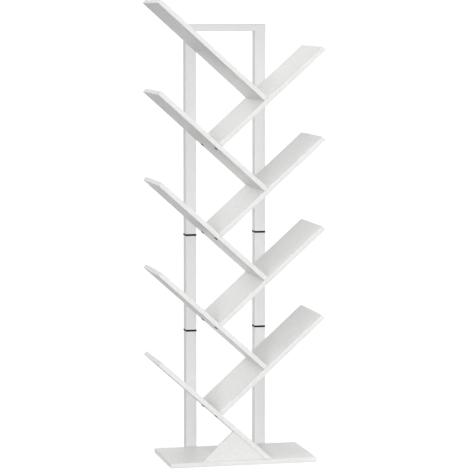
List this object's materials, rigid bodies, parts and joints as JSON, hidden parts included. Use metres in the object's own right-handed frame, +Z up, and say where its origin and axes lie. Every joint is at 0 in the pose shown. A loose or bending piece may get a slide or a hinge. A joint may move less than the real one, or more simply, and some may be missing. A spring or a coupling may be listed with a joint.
{
  "type": "tree shaped bookshelf",
  "caption": "Free-standing open bookshelf whose tilted boards branch left and right like a tree from a rear tube frame on a flat base, so that books lean on them.",
  "frame": {"origin": "middle of the footprint, on the floor", "axes": "+Z up, +X to the right seen from the front, the open front faces -Y and the posts stand at the +Y side"},
  "size_m": [0.5408, 0.3134, 1.4824],
  "materials": {
    "shelf_board": "white melamine laminate, satin",
    "frame_tube": "white powder coat, satin",
    "joint_plastic": "black moulded plastic, matt",
    "end_plug": "white moulded plastic, matt",
    "bolt_steel": "blackened steel, satin",
    "dowel_wood": "bare beech"
  },
  "bodies": {
    "root": {"base_dowel_back": "dowel_wood", "base_dowel_front": "dowel_wood", "base_plate": "shelf_board", "bolt_left_shelf_2_back": "bolt_steel", "bolt_left_shelf_2_front": "bolt_steel", "bolt_left_shelf_3_back": "bolt_steel", "bolt_left_shelf_3_front": "bolt_steel", "bolt_left_shelf_4_back": "bolt_steel", "bolt_left_shelf_4_front": "bolt_steel", "bolt_left_shelf_5_back": "bolt_steel", "bolt_left_shelf_5_front": "bolt_steel", "bolt_right_shelf_1_back": "bolt_steel", "bolt_right_shelf_1_front": "bolt_steel", "bolt_right_shelf_2_back": "bolt_steel", "bolt_right_shelf_2_front": "bolt_steel", "bolt_right_shelf_3_back": "bolt_steel", "bolt_right_shelf_3_front": "bolt_steel", "bolt_right_shelf_4_back": "bolt_steel", "bolt_right_shelf_4_front": "bolt_steel", "foot_cap_left": "joint_plastic", "foot_cap_right": "joint_plastic", "post_bolt_base_left": "bolt_steel", "post_bolt_base_right": "bolt_steel", "post_bolt_shelf_left_1": "bolt_steel", "post_bolt_shelf_left_2": "bolt_steel", "post_bolt_shelf_left_3": "bolt_steel", "post_bolt_shelf_left_4": "bolt_steel", "post_bolt_shelf_left_5": "bolt_steel", "post_bolt_shelf_right_1": "bolt_steel", "post_bolt_shelf_right_2": "bolt_steel", "post_bolt_shelf_right_3": "bolt_steel", "post_bolt_shelf_right_4": "bolt_steel", "post_connector_left_lower": "joint_plastic", "post_connector_left_upper": "joint_plastic", "post_connector_right_lower": "joint_plastic", "post_connector_right_upper": "joint_plastic", "post_left_lower": "frame_tube", "post_left_middle": "frame_tube", "post_left_upper": "frame_tube", "post_right_lower": "frame_tube", "post_right_middle": "frame_tube", "post_right_upper": "frame_tube", "shelf_left_1": "shelf_board", "shelf_left_2": "shelf_board", "shelf_left_3": "shelf_board", "shelf_left_4": "shelf_board", "shelf_left_5": "shelf_board", "shelf_right_1": "shelf_board", "shelf_right_2": "shelf_board", "shelf_right_3": "shelf_board", "shelf_right_4": "shelf_board", "top_rail": "frame_tube", "top_rail_plug_left": "end_plug", "top_rail_plug_right": "end_plug", "triangle_screw_base_1": "bolt_steel", "triangle_screw_base_2": "bolt_steel", "triangle_screw_shelf_1": "bolt_steel", "triangle_screw_shelf_2": "bolt_steel", "triangle_support": "shelf_board"}
  },
  "joints": []
}
